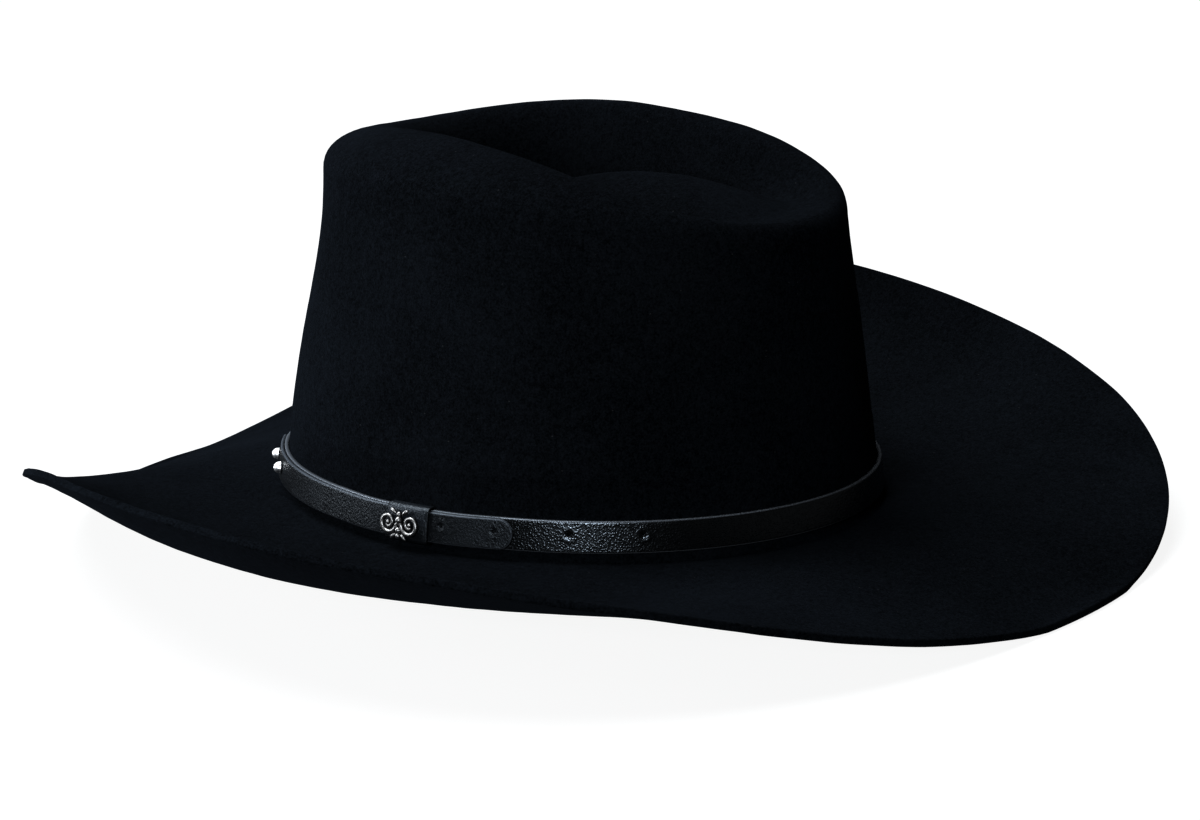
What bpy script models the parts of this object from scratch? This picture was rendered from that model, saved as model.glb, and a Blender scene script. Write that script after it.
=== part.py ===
"""Felt cowboy hat with a leather hatband, modelled as its separate pieces.

Metres. +X is the wearer's left, +Y the back of the hat, +Z up. The hat stands on the lowest points
of its brim, at z = 0, and the origin is under the middle of its bounding box.
Everything is laid out round the crown by an angle phi, which is 0 at the front, 90 degrees at the
wearer's left and 180 degrees at the back. Heights called "over the band" are above a line round the
crown, half a millimetre under the hatband's top edge.
"""

import math

import bmesh
import bpy
import numpy as np
from mathutils import Matrix, Vector

# Felt body
FELT = 0.0024  # felt thickness
CROWN_X, CROWN_Y = 0.0002, 0.0027  # crown centre, seen from the middle of the brim
BAND_TOP = 0.0299  # line that heights are measured from, over the ground
BAND_TILT = 0.0019  # the line is higher at the front and lower at the back by this
BAND_HEIGHT = 0.0122  # from the crown's foot to that line
BASE_LENGTH, BASE_WIDTH = 0.1034, 0.0864  # half-axes of the crown's foot
FOOT_RADIUS = 0.0015  # hollow round where the crown meets the brim

# Crown: a straight tapering wall, a round shoulder, and a crest round a teardrop dent
SHOULDER_LENGTH, SHOULDER_WIDTH, SHOULDER_SHIFT = 0.0932, 0.0700, 0.0040
CREST_LENGTH, CREST_WIDTH, CREST_SHIFT = 0.0766, 0.0528, 0.0160
CREST_TAPER, CREST_ROUND = 0.14, 0.14  # the dent narrows to the front, and is blunt at its ends
CREST_HEIGHT = (0.0970, 0.0113, -0.0055, -0.0005)  # cosine terms, over the band
SHOULDER_DROP = (0.0115, 0.0030, -0.0025)  # cosine terms of the crest over the shoulder
GROOVE_SCALE, GROOVE_HEIGHT, GROOVE_RISE = 0.76, 0.0790, 0.0010  # moat round the bump in the dent
BUMP_HEIGHT, BUMP_SHIFT = 0.0905, 0.0200
PINCH_DEPTH, PINCH_ANGLE, PINCH_SPREAD = 0.0045, math.radians(38), math.radians(20)
PINCH_PLACE, PINCH_TALL = 0.85, 0.32  # on the wall, 0 at its foot and 1 at the shoulder

# Brim edge: radius and height over the band, as cosine and sine terms of phi
EDGE_RADIUS_COS, EDGE_RADIUS_SIN = (0.1810, -0.0014, 0.0048, 0.0043), (-0.0012, 0.0024, -0.0015)
EDGE_HEIGHT_COS, EDGE_HEIGHT_SIN = (0.0007, 0.0054, -0.0255, -0.0054, -0.0035), (-0.0043, -0.0064)
CURL_SIDE, CURL_END, CURL_SHIFT = 2.85, 1.75, 0.11  # how late the brim turns, at sides and ends

# Hatband
TOUCH = 0.0003  # gap between neighbouring pieces
STRAP_THICK, STRAP_TALL = 0.0012, 0.0094
STRAP_MIDDLE = 0.0080  # over the crown's foot
BILLET_THICK, BILLET_TALL = 0.0010, 0.0090
BILLET_START, TONGUE_END = math.radians(32.5), math.radians(114)
STUD_ANGLES = {"stud_front": math.radians(37.5), "stud_rear": math.radians(48)}
STUD_RADIUS, STUD_HIGH, STUD_POST = 0.0020, 0.0024, 0.0009
KEEPER_ANGLE, KEEPER_WIDE, KEEPER_THICK = math.radians(94.5), 0.0155, 0.0006
BULGE_FLAT, BULGE_FADE = math.radians(8), math.radians(10)  # the strap stands off over the keeper
ORNAMENT_SHIFT, ORNAMENT_STAND = -0.0015, 0.0014  # its middle along the keeper, and off its face
WIRE_RADIUS = 0.00065  # of the ornament's scroll
PRONG_PLACE, PRONG_LOW, PRONG_TOP = 0.00414, -0.00253, 0.00015
PRONG_RADIUS, PRONG_LENGTH = 0.00042, 0.0018

# Sweatband and lining
LINING_GAP, LINING_THICK, LINING_LOW = 0.0004, 0.0004, 0.0380
SWEAT_GAP, SWEAT_THICK, SWEAT_TALL, SWEAT_DROP = 0.0013, 0.0009, 0.0560, 0.0031
REED_RADIUS, REED_RISE = 0.0009, -0.0021
TAPE_WIDE, TAPE_THICK = 0.0100, 0.0004
BOW_RISE, BOW_THICK = 0.0400, 0.0024
TIP_HEIGHT = 0.0700  # lining tip over the band

SECTORS = 72


def cosines(terms, phi):
    return sum(term * np.cos(k * phi) for k, term in enumerate(terms))


def sines(terms, phi):
    return sum(term * np.sin((k + 1) * phi) for k, term in enumerate(terms))


def smooth(t):
    return t * t * (3 - 2 * t)


def oval(phi, length, width, shift=0.0):
    """x and y of an oval round the crown's axis, moved back by shift."""
    return CROWN_X + width * np.sin(phi), CROWN_Y + shift - length * np.cos(phi)


def band_top(phi):
    return BAND_TOP + BAND_TILT * np.cos(phi)


def foot_height(phi):
    return band_top(phi) - BAND_HEIGHT


def crest_height(phi):
    return BAND_TOP + cosines(CREST_HEIGHT, phi)


def wall_point(phi, v, inset=0.0):
    """Point of the crown's wall, v = 0 at its foot and 1 at the shoulder, moved in by inset."""
    foot_x, foot_y = oval(phi, BASE_LENGTH - inset, BASE_WIDTH - inset)
    top_x, top_y = oval(phi, SHOULDER_LENGTH - inset, SHOULDER_WIDTH - inset, SHOULDER_SHIFT)
    x, y = foot_x + (top_x - foot_x) * v, foot_y + (top_y - foot_y) * v
    low = foot_height(phi) + FOOT_RADIUS
    high = crest_height(phi) - cosines(SHOULDER_DROP, phi)
    side = np.abs((phi + math.pi) % (2 * math.pi) - math.pi)
    pinch = np.exp(-(((side - PINCH_ANGLE) / PINCH_SPREAD) ** 2) - ((v - PINCH_PLACE) / PINCH_TALL) ** 2)
    pull = PINCH_DEPTH * pinch * smooth(np.clip(v / 0.25, 0, 1))
    return np.stack([x - pull * np.sin(phi), y + pull * np.cos(phi), low + (high - low) * v], -1)


def wall_at(phi, rise, inset=0.0):
    """Point of the wall at a rise above the crown's foot."""
    low = FOOT_RADIUS
    high = crest_height(phi) - cosines(SHOULDER_DROP, phi) - foot_height(phi)
    return wall_point(phi, (rise - low) / (high - low), inset)


def foot_point(phi, turn):
    """Hollow round of the crown's foot, turn = 0 on the brim and 1 on the wall."""
    angle = turn * math.pi / 2
    out = FOOT_RADIUS * (1 - math.sin(angle))
    x, y = oval(phi, BASE_LENGTH + out, BASE_WIDTH + out)
    return np.stack([x, y, foot_height(phi) + FOOT_RADIUS * (1 - math.cos(angle))], -1)


def brim_point(phi, t):
    """Point of the brim's upper side, t = 0 at the crown's foot and 1 at the edge."""
    start = foot_point(phi, 0.0)
    radius = cosines(EDGE_RADIUS_COS, phi) + sines(EDGE_RADIUS_SIN, phi)
    rise = cosines(EDGE_HEIGHT_COS, phi) + sines(EDGE_HEIGHT_SIN, phi)
    edge_x, edge_y = CROWN_X + radius * np.sin(phi), CROWN_Y - radius * np.cos(phi)
    curl = (CURL_SIDE + CURL_END) / 2 - (CURL_SIDE - CURL_END) / 2 * np.cos(2 * phi)
    curl += CURL_SHIFT * np.sin(phi)
    x = start[:, 0] + (edge_x - start[:, 0]) * t
    y = start[:, 1] + (edge_y - start[:, 1]) * t
    z = start[:, 2] + (BAND_TOP + rise - start[:, 2]) * t**curl
    return np.stack([x, y, np.maximum(z, FELT)], -1)


def crest_point(phi):
    side = np.sin(phi) * (1 - CREST_TAPER * np.cos(phi) + CREST_ROUND * np.cos(2 * phi))
    x = CROWN_X + CREST_WIDTH * side
    y = CROWN_Y + CREST_SHIFT - CREST_LENGTH * np.cos(phi)
    return np.stack([x, y, crest_height(phi)], -1)


def shoulder_point(phi, turn):
    """Round of the shoulder, turn = 0 at the wall and 1 at the crest."""
    angle = turn * math.pi / 2
    start, end = wall_point(phi, 1.0), crest_point(phi)
    across, up = 1 - math.cos(angle), math.sin(angle)
    return start + (end - start) * np.array([across, across, up])


def dent_point(phi, q):
    """Teardrop dent, q = 0 at the crest, 1 at the middle of the bump."""
    scale = 1 - q
    end = crest_point(phi)
    x = CROWN_X + (end[:, 0] - CROWN_X) * scale
    middle = CROWN_Y + CREST_SHIFT
    y = middle + BUMP_SHIFT * q + (end[:, 1] - middle) * scale
    groove = BAND_TOP + GROOVE_HEIGHT - GROOVE_RISE * np.cos(phi)
    if scale > GROOVE_SCALE:
        z = end[:, 2] - (end[:, 2] - groove) * smooth((1 - scale) / (1 - GROOVE_SCALE))
    else:
        z = groove + (BAND_TOP + BUMP_HEIGHT - groove) * (1 - (scale / GROOVE_SCALE) ** 2) ** 1.5
    return np.stack([x, y, z], -1)


def angles(count=SECTORS):
    return np.arange(count) * 2 * math.pi / count


def material(name, color, roughness, metallic=0.0):
    made = bpy.data.materials.new(name)
    made.use_nodes = True
    shader = made.node_tree.nodes["Principled BSDF"]
    shader.inputs["Base Color"].default_value = (*color, 1.0)
    shader.inputs["Roughness"].default_value = roughness
    shader.inputs["Metallic"].default_value = metallic
    return made


def new_object(name, mesh, made_of, parent=None):
    mesh.shade_smooth()
    mesh.set_sharp_from_angle(angle=math.radians(35))
    mesh.materials.append(made_of)
    made = bpy.data.objects.new(name, mesh)
    bpy.context.scene.collection.objects.link(made)
    if parent:
        made.parent = parent
        made.matrix_parent_inverse = parent.matrix_world.inverted()
    return made


def lattice(rows, wrap_rows=False, wrap_columns=True, close_first=False, close_last=False):
    """Mesh data over rows of points: quads between rows, and a fan over the first or last row."""
    points = [tuple(p) for row in rows for p in row]
    count, faces = len(rows[0]), []
    for i in range(len(rows) if wrap_rows else len(rows) - 1):
        for j in range(count if wrap_columns else count - 1):
            a, b = i * count + j, i * count + (j + 1) % count
            c, d = (i + 1) % len(rows) * count + (j + 1) % count, (i + 1) % len(rows) * count + j
            faces.append((a, b, c, d))
    for close, row, turn in ((close_first, 0, -1), (close_last, len(rows) - 1, 1)):
        if close:
            middle = tuple(np.mean(rows[row], axis=0))
            points.append(middle)
            for j in range(count):
                pair = (row * count + j, row * count + (j + 1) % count)[::turn]
                faces.append((*pair, len(points) - 1))
    return points, faces


def mesh_of(name, points, faces):
    mesh = bpy.data.meshes.new(name)
    mesh.from_pydata(points, [], faces)
    bm = bmesh.new()
    bm.from_mesh(mesh)
    bmesh.ops.recalc_face_normals(bm, faces=bm.faces)
    bm.to_mesh(mesh)
    bm.free()
    return mesh


def underside(rows, depth):
    """The rows moved down and in by depth, flat on the ground where the upper side is at depth over it."""
    grid = np.array(rows)
    around = np.roll(grid, -1, axis=1) - np.roll(grid, 1, axis=1)
    inwards = np.gradient(grid, axis=0)
    normal = np.cross(around, inwards)
    normal /= np.linalg.norm(normal, axis=2, keepdims=True)
    under = grid - normal * depth
    flat = grid[:, :, 2] <= depth + 1e-7
    under[:, :, 2] = np.where(flat, 0.0, np.maximum(under[:, :, 2], 0.0))
    return list(under)


def felt_body(made_of):
    phi = angles()
    rows = [brim_point(phi, t) for t in (1.0, 0.975, 0.90, 0.80, 0.67, 0.52, 0.35, 0.16)]
    rows += [foot_point(phi, turn) for turn in (0.0, 0.5)]
    rows += [wall_point(phi, v) for v in (0.0, 0.17, 0.34, 0.50, 0.66, 0.83, 1.0)]
    rows += [shoulder_point(phi, turn) for turn in (0.33, 0.67, 1.0)]
    rows += [dent_point(phi, q) for q in (0.07, 0.15, 0.23, 0.38, 0.58, 0.80)]
    under = underside(rows, FELT)
    points, faces = lattice(under[::-1] + rows, close_first=True, close_last=True)
    return new_object("felt_body", mesh_of("felt_body", points, faces), made_of)


def ring(name, made_of, outline, count=SECTORS, parent=None):
    """Closed ring whose cross-section at phi is the closed outline, a list of functions of phi."""
    phi = angles(count)
    rows = [corner(phi) for corner in outline]
    return new_object(name, mesh_of(name, *lattice(rows, wrap_rows=True)), made_of, parent)


def lining_side(made_of):
    def corner(rise, inset):
        return lambda phi: wall_at(phi, rise, FELT + LINING_GAP + inset)

    top = TIP_HEIGHT + BAND_HEIGHT - 0.0012
    rises = [LINING_LOW + (top - LINING_LOW) * k / 3 for k in range(4)]
    outline = [corner(rise, 0.0) for rise in rises]
    outline += [corner(rise, LINING_THICK) for rise in reversed(rises)]
    return ring("lining_side", made_of, outline)


def lining_tip(made_of):
    """Oval satin top, stretched across the crown under the dent and sagging a little."""
    phi = angles()
    edge = wall_at(phi, TIP_HEIGHT + BAND_HEIGHT, FELT + LINING_GAP)
    middle = np.array([CROWN_X, CROWN_Y + SHOULDER_SHIFT, BAND_TOP + TIP_HEIGHT - 0.0030])
    rows = []
    for low in (0.0, LINING_THICK):
        scales = (0.35, 0.70, 1.0) if low == 0 else (1.0, 0.70, 0.35)
        for scale in scales:
            row = middle + (edge - middle) * np.array([scale, scale, scale**2])
            row[:, 2] -= low
            rows.append(row)
    points, faces = lattice(rows, close_first=True, close_last=True)
    return new_object("lining_tip", mesh_of("lining_tip", points, faces), made_of)


def sweatband(made_of):
    def corner(rise, inset):
        return lambda phi: wall_at(phi, rise, FELT + SWEAT_GAP + inset)

    rises = [-SWEAT_DROP + SWEAT_TALL * k / 3 for k in range(4)]
    outline = [corner(rise, 0.0) for rise in rises]
    outline += [corner(rise, SWEAT_THICK) for rise in reversed(rises)]
    return ring("sweatband", made_of, outline)


def sweatband_reed(made_of):
    inset = FELT + SWEAT_GAP - TOUCH - REED_RADIUS

    def corner(angle):
        def at(phi):
            point = wall_at(phi, REED_RISE + REED_RADIUS * math.sin(angle), inset)
            point[:, 0] -= REED_RADIUS * math.cos(angle) * np.sin(phi)
            point[:, 1] += REED_RADIUS * math.cos(angle) * np.cos(phi)
            return point

        return at

    return ring("sweatband_reed", made_of, [corner(k * math.pi / 3) for k in range(6)])


def patch(name, made_of, phis, rises, inset, thick):
    """Closed curved plate on the wall, between two angles and two rises, from inset inwards by thick."""
    rows = []
    for depth, order in ((inset, phis), (inset + thick, phis[::-1])):
        for phi in order:
            rows.append([wall_at(np.array([phi]), rise, depth)[0] for rise in rises])
    points, faces = lattice(rows, wrap_rows=True, wrap_columns=False)
    count, last = len(rises), len(rows)
    for column in (0, count - 1):
        for k in range(len(phis) - 1):
            mate = last - 1 - k
            quad = (k, k + 1, mate - 1, mate)
            faces.append(tuple(row * count + column for row in quad))
    return new_object(name, mesh_of(name, points, faces), made_of)


def strap_offset(phi):
    """How far the strap's inner face stands out of the felt: more over the keeper's back."""
    away = np.abs(phi - KEEPER_ANGLE)
    bulge = smooth(np.clip((BULGE_FLAT + BULGE_FADE - away) / BULGE_FADE, 0, 1))
    return TOUCH + (KEEPER_THICK + TOUCH) * bulge


def band_point(phi, rise, out):
    """Point on the hatband: out is measured from the strap's inner face."""
    offset = strap_offset(phi) + out
    foot_x, foot_y = oval(phi, BASE_LENGTH + offset, BASE_WIDTH + offset)
    bare = wall_at(phi, rise)
    plain_x, plain_y = oval(phi, BASE_LENGTH, BASE_WIDTH)
    return bare + np.stack([foot_x - plain_x, foot_y - plain_y, 0 * plain_x], -1)


def hole(body, name, place, outwards, radius, length):
    """Cuts a round hole through a body, along the direction outwards."""
    bpy.ops.mesh.primitive_cylinder_add(vertices=16, radius=radius, depth=length, location=place)
    cutter = bpy.context.object
    cutter.name = name
    cutter.rotation_mode = "QUATERNION"
    cutter.rotation_quaternion = Vector(outwards).to_track_quat("Z", "Y")
    cutter.hide_render = True
    cutter.display_type = "WIRE"
    cut = body.modifiers.new(name, "BOOLEAN")
    cut.operation = "DIFFERENCE"
    cut.object = cutter


def band_frame(phi, rise, out):
    """Place on the hatband, with its directions along the band, up the wall and outwards."""
    step = 1e-4
    here, ahead = (band_point(np.array([phi + k]), rise, out)[0] for k in (0, step))
    above = band_point(np.array([phi]), rise + step, out)[0]
    along = Vector(ahead - here).normalized()
    up = Vector(above - here).normalized()
    outwards = up.cross(along).normalized()
    if outwards.dot(Vector((math.sin(phi), -math.cos(phi), 0))) < 0:
        outwards = -outwards
    return Vector(here), along, outwards.cross(along), outwards


def hatband_strap(made_of, parent):
    low, high, round_off = STRAP_MIDDLE - STRAP_TALL / 2, STRAP_MIDDLE + STRAP_TALL / 2, 0.00025

    def corner(rise, out):
        return lambda phi: band_point(phi, rise, out)

    outline = [
        corner(low, 0.0),
        corner(high, 0.0),
        corner(high, STRAP_THICK - round_off),
        corner(high - round_off, STRAP_THICK),
        corner(low + round_off, STRAP_THICK),
        corner(low, STRAP_THICK - round_off),
    ]
    return ring("hatband_strap", made_of, outline, 96, parent)


def arc_length(phi):
    """Metres of hatband for each radian of phi."""
    return math.hypot(BASE_WIDTH * math.cos(phi), BASE_LENGTH * math.sin(phi))


def hatband_billet(made_of, parent):
    """Over layer, straight cut at the studs and round at the tongue's tip."""
    half = BILLET_TALL / 2
    round_angle = half / arc_length(TONGUE_END)
    straight = np.linspace(BILLET_START, TONGUE_END - round_angle, 28)
    turn = np.linspace(0, math.pi / 2, 9)[1:]
    tip = TONGUE_END - round_angle + round_angle * np.sin(turn) * 0.998
    low_out, high_out = STRAP_THICK + TOUCH, STRAP_THICK + TOUCH + BILLET_THICK
    stations = [(phi, half) for phi in straight]
    stations += [(phi, half * max(math.cos(a), 0.06)) for phi, a in zip(tip, turn)]
    rows = []
    for phi, tall in stations:
        one = np.array([phi])
        corners = [(-tall, low_out), (tall, low_out), (tall, high_out), (-tall, high_out)]
        rows.append([band_point(one, STRAP_MIDDLE + rise, out)[0] for rise, out in corners])
    points, faces = lattice(rows)
    last = (len(rows) - 1) * 4
    faces += [(0, 1, 2, 3), (last, last + 1, last + 2, last + 3)]
    return new_object("hatband_billet", mesh_of("hatband_billet", points, faces), made_of, parent)


def rounded(low_out, high_out, low_rise, high_rise, radius, steps=4):
    """Corners of a rounded rectangle, as pairs of out and rise."""
    outline = []
    for number, (out, rise) in enumerate(
        ((high_out, high_rise), (low_out, high_rise), (low_out, low_rise), (high_out, low_rise))
    ):
        inner_out = out - radius if out == high_out else out + radius
        inner_rise = rise - radius if rise == high_rise else rise + radius
        for k in range(steps):
            angle = (number + k / (steps - 1)) * math.pi / 2
            outline.append((inner_out + radius * math.cos(angle), inner_rise + radius * math.sin(angle)))
    return outline


def keeper_loop(made_of, parent):
    """Leather loop round the strap and the billet, open along the band."""
    low, high = STRAP_MIDDLE - STRAP_TALL / 2 - TOUCH, STRAP_MIDDLE + STRAP_TALL / 2 + TOUCH
    deep = STRAP_THICK + BILLET_THICK + 2 * TOUCH
    inner = rounded(-TOUCH, deep, low, high, 0.0003)
    outer = rounded(
        -TOUCH - KEEPER_THICK, deep + KEEPER_THICK, low - KEEPER_THICK, high + KEEPER_THICK, 0.0009
    )
    half = KEEPER_WIDE / 2 / arc_length(KEEPER_ANGLE)
    phis = np.linspace(KEEPER_ANGLE - half, KEEPER_ANGLE + half, 7)
    rows = []
    for outline, order in ((outer, phis), (inner, phis[::-1])):
        for phi in order:
            one = np.array([phi])
            rows.append([band_point(one, rise, out)[0] for out, rise in outline])
    points, faces = lattice(rows, wrap_rows=True)
    return new_object("keeper_loop", mesh_of("keeper_loop", points, faces), made_of, parent)


def tube(points, radii, sides=8):
    """Closed tube mesh data through points in the plane z = 0."""
    rows = []
    for k, (x, y) in enumerate(points):
        before, after = points[max(k - 1, 0)], points[min(k + 1, len(points) - 1)]
        along = Vector((after[0] - before[0], after[1] - before[1], 0)).normalized()
        across = Vector((-along.y, along.x, 0))
        ring_points = []
        for s in range(sides):
            angle = 2 * math.pi * s / sides
            side = across * math.cos(angle) + Vector((0, 0, math.sin(angle)))
            ring_points.append(Vector((x, y, 0)) + side * radii[k])
        rows.append(ring_points)
    return lattice(rows, close_first=True, close_last=True)


def scroll_path():
    """Two mirrored volutes joined by a small arch, in metres, as seen from outside."""
    centre_x, centre_y, first, turns = 0.0042, 0.00035, math.radians(200), 1.30
    right = []
    for k in range(28):
        t = k / 27
        radius = 0.00334 - 0.00230 * t**0.85
        angle = first + turns * 2 * math.pi * t
        right.append((centre_x + radius * math.cos(angle), centre_y + radius * math.sin(angle)))
    start = right[0]
    arch = [
        (start[0] * math.cos(a), start[1] + 0.00127 * math.sin(a)) for a in np.linspace(0, math.pi, 8)[1:-1]
    ]
    left = [(-x, y) for x, y in right]
    return left[::-1] + arch[::-1] + right


def ornament_angle():
    return KEEPER_ANGLE + ORNAMENT_SHIFT / arc_length(KEEPER_ANGLE)


def keeper_ornament(made_of, parent):
    """Cast scroll with a row of beads, and the two prongs that hold it to the keeper."""
    path = scroll_path()
    count = len(path)
    taper = [WIRE_RADIUS * (1.05 - 0.35 * abs(2 * k / (count - 1) - 1) ** 2) for k in range(count)]
    mesh = mesh_of("keeper_ornament", *tube(path, taper))
    scroll = new_object("keeper_ornament", mesh, made_of, parent)
    face = STRAP_THICK + BILLET_THICK + 2 * TOUCH + KEEPER_THICK
    place, along, up, outwards = band_frame(ornament_angle(), STRAP_MIDDLE, face + ORNAMENT_STAND)
    turn = Matrix((along, up, outwards)).transposed().to_4x4()
    frame = Matrix.Translation(place) @ turn
    scroll.data.transform(frame)
    beads = [(0.00138, 0.00122), (0.00313, 0.00089), (-0.00173, 0.00106), (-0.00345, 0.00093)]
    pieces = []
    for k, (y, radius) in enumerate(beads):
        bpy.ops.mesh.primitive_uv_sphere_add(segments=12, ring_count=8, radius=radius, location=(0, y, 0))
        pieces.append((f"ornament_bead_{k}", bpy.context.object))
    for k, x in enumerate((-PRONG_PLACE, PRONG_PLACE)):
        middle_depth = PRONG_TOP + PRONG_LENGTH / 2
        bpy.ops.mesh.primitive_cylinder_add(
            vertices=10, radius=PRONG_RADIUS, depth=PRONG_LENGTH, location=(x, PRONG_LOW, -middle_depth)
        )
        pieces.append((f"ornament_prong_{k}", bpy.context.object))
    for name, piece in pieces:
        piece.name = name
        piece.matrix_world = frame @ piece.matrix_basis
        piece.hide_render = True
        piece.display_type = "WIRE"
        joined = scroll.modifiers.new(name, "BOOLEAN")
        joined.operation = "UNION"
        joined.object = piece
    return scroll


def stud(name, made_of, parent, phi):
    """Domed rivet: a head on the billet and a post through the billet and the strap."""
    foot = -(STRAP_THICK + BILLET_THICK + TOUCH)
    profile = [(STUD_POST, foot), (STUD_POST, TOUCH), (STUD_RADIUS * 0.98, TOUCH)]
    profile.append((STUD_RADIUS, TOUCH + 0.0003))
    for k in range(1, 6):
        angle = k / 5 * math.pi / 2
        profile.append((STUD_RADIUS * math.cos(angle), TOUCH + 0.0003 + (STUD_HIGH - 0.0003) * math.sin(angle)))
    rows = []
    for radius, high in profile[:-1]:
        rows.append([(radius * math.cos(a), radius * math.sin(a), high) for a in angles(16)])
    points, faces = lattice(rows, close_first=True, close_last=True)
    points[-1] = (0.0, 0.0, profile[-1][1])
    made = new_object(name, mesh_of(name, points, faces), made_of, parent)
    place, along, up, outwards = band_frame(phi, STRAP_MIDDLE, STRAP_THICK + TOUCH + BILLET_THICK)
    made.data.transform(Matrix.Translation(place) @ Matrix((along, up, outwards)).transposed().to_4x4())
    return made


def sweatband_seam_tape(made_of):
    """Narrow ribbon over the sweatband's back seam."""
    half = TAPE_WIDE / 2 / arc_length(math.pi)
    phis = np.linspace(math.pi - half, math.pi + half, 5)
    inset = FELT + SWEAT_GAP + SWEAT_THICK + TOUCH
    rises = [-SWEAT_DROP + 0.0010 + (SWEAT_TALL - 0.0020) * k / 3 for k in range(4)]
    return patch("sweatband_seam_tape", made_of, phis, rises, inset, TAPE_THICK)


def sweatband_bow(made_of):
    """Small flat bow at the back seam: two loops, a knot and two tails, as one solid."""
    inset = FELT + SWEAT_GAP + SWEAT_THICK + TAPE_THICK + 3 * TOUCH + BOW_THICK / 2
    place = Vector(wall_at(np.array([math.pi]), BOW_RISE, inset)[0])
    above = Vector(wall_at(np.array([math.pi]), BOW_RISE + 0.001, inset)[0])
    up = (above - place).normalized()
    along = Vector((1, 0, 0))
    outwards = along.cross(up)
    frame = Matrix.Translation(place) @ Matrix((along, up, outwards)).transposed().to_4x4()
    thick = BOW_THICK / 2
    lobes = [(0.0058, 0.0004, 0.0054, 0.0029, 8), (-0.0058, 0.0004, 0.0054, 0.0029, -8)]
    lobes += [(0.0042, -0.0052, 0.0050, 0.0014, -52), (-0.0042, -0.0052, 0.0050, 0.0014, 52)]
    lobes += [(0.0, 0.0, 0.0018, 0.0021, 0)]
    bow = None
    for number, (x, y, long, tall, turn) in enumerate(lobes):
        bpy.ops.mesh.primitive_uv_sphere_add(segments=16, ring_count=8, radius=1.0)
        piece = bpy.context.object
        local = Matrix.Translation((x, y, 0)) @ Matrix.Rotation(math.radians(turn), 4, "Z")
        scale = Matrix.Diagonal((long, tall, thick * (1.0 if number < 4 else 1.15), 1.0))
        piece.data.transform(frame @ local @ scale)
        if bow is None:
            piece.name = piece.data.name = "sweatband_bow"
            piece.data.shade_smooth()
            piece.data.materials.append(made_of)
            bow = piece
            continue
        piece.name = f"bow_piece_{number}"
        piece.hide_render = True
        piece.display_type = "WIRE"
        joined = bow.modifiers.new(piece.name, "BOOLEAN")
        joined.operation = "UNION"
        joined.object = piece
    return bow


def empty(name, place, parent=None):
    made = bpy.data.objects.new(name, None)
    made.empty_display_size = 0.02
    made.location = place
    bpy.context.scene.collection.objects.link(made)
    if parent:
        made.parent = parent
        made.location = Vector(place) - parent.location
    return made


def main():
    for old in list(bpy.data.objects):
        bpy.data.objects.remove(old)
    felt = material("black_felt", (0.006, 0.007, 0.010), 0.95)
    grained = material("grained_leather", (0.010, 0.010, 0.011), 0.45)
    smooth_leather = material("smooth_leather", (0.014, 0.014, 0.016), 0.38)
    metal = material("antique_silver", (0.62, 0.61, 0.60), 0.30, 1.0)
    nickel = material("bright_nickel", (0.86, 0.86, 0.86), 0.15, 1.0)
    sweat_leather = material("sweatband_leather", (0.020, 0.016, 0.014), 0.55)
    ribbon = material("black_ribbon", (0.012, 0.012, 0.014), 0.50)
    satin = material("grey_satin", (0.20, 0.20, 0.22), 0.35)
    reed = material("black_reed", (0.015, 0.015, 0.015), 0.50)

    felt_body(felt)
    lining_side(satin)
    lining_tip(satin)
    sweatband(sweat_leather)
    sweatband_reed(reed)
    sweatband_seam_tape(ribbon)
    sweatband_bow(ribbon)

    hatband = empty("hatband_slide", (CROWN_X, CROWN_Y, BAND_TOP))
    # The keeper turns about the centre of the band's curve at the wearer's left.
    side = band_point(np.array([math.pi / 2]), STRAP_MIDDLE, 0.0)[0]
    bend = BASE_LENGTH**2 / BASE_WIDTH
    pivot = empty("keeper_pivot", (side[0] - bend, CROWN_Y, side[2]), hatband)
    bpy.context.view_layer.update()

    strap = hatband_strap(grained, hatband)
    billet = hatband_billet(smooth_leather, hatband)
    for name, phi in STUD_ANGLES.items():
        stud(name, nickel, hatband, phi)
        place, _, _, outwards = band_frame(phi, STRAP_MIDDLE, STRAP_THICK)
        for body in (strap, billet):
            hole(body, f"{name}_hole_in_{body.name}", place, outwards, STUD_POST + TOUCH, 0.008)
    keeper = keeper_loop(smooth_leather, pivot)
    keeper_ornament(metal, pivot)
    face = STRAP_THICK + BILLET_THICK + 2 * TOUCH + KEEPER_THICK / 2
    place, along, up, outwards = band_frame(ornament_angle(), STRAP_MIDDLE, face)
    for number, x in enumerate((-PRONG_PLACE, PRONG_PLACE)):
        spot = place + along * x + up * PRONG_LOW
        hole(keeper, f"prong_hole_{number}", spot, outwards, PRONG_RADIUS + TOUCH, KEEPER_THICK * 2.2)


main()
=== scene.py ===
"""Fine surfaces, materials, floor, light and camera for a felt cowboy hat, built round its CAD frame.

Metres, in the frame's axes: +X is the wearer's left, +Y the back of the hat, +Z up. Places round the
hat are given by an angle phi: 0 at the front, 90 degrees at the wearer's left, 180 degrees at the back.
Heights called "over the band" are above a line round the crown, half a millimetre under the hatband's
top edge. A rise is a height above the crown's foot.
"""

import math

import bmesh
import bpy
import numpy as np
from mathutils import Matrix, Vector, noise


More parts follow.
